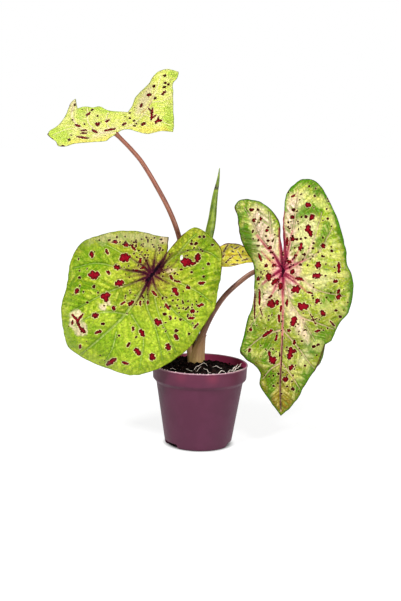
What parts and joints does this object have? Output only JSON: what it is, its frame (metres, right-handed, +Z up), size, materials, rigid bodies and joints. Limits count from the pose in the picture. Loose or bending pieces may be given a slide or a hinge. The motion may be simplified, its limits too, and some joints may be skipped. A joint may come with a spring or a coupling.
{
  "type": "potted caladium",
  "caption": "Potted caladium: broad, maroon-spotted green leaves on slender arching stalks, growing from soil in a round tapered plastic nursery pot.",
  "frame": {"origin": "centre of the pot's flat underside, on the surface that it stands on", "axes": "+Z up along the pot's axis, -Y towards the side the picture was taken from, +X to its right"},
  "size_m": [0.3291, 0.1352, 0.4074],
  "materials": {
    "pot_plastic": "moulded polypropylene, plum, satin",
    "potting_mix": "damp dark potting mix, crumbly",
    "tuber_skin": "dry brown tuber skin, rough",
    "stalk_skin": "smooth brown-maroon leaf stalk, satin, striped",
    "leaf_green": "yellow-green leaf with maroon spots, satin",
    "leaf_rose": "green leaf, rose and cream round the veins, with maroon spots, satin",
    "leaf_pale": "pale lime leaf with maroon spots, satin",
    "leaf_young": "olive-green young leaf, still rolled, satin"
  },
  "bodies": {
    "root": {"pot": "pot_plastic", "soil": "potting_mix", "tuber": "tuber_skin", "petiole_right": "stalk_skin", "petiole_left": "stalk_skin", "petiole_top": "stalk_skin", "petiole_back": "stalk_skin", "petiole_new": "stalk_skin", "leaf_left": "leaf_green", "leaf_right": "leaf_rose", "leaf_top": "leaf_pale", "leaf_back": "leaf_pale", "leaf_rolled": "leaf_young"}
  },
  "joints": []
}
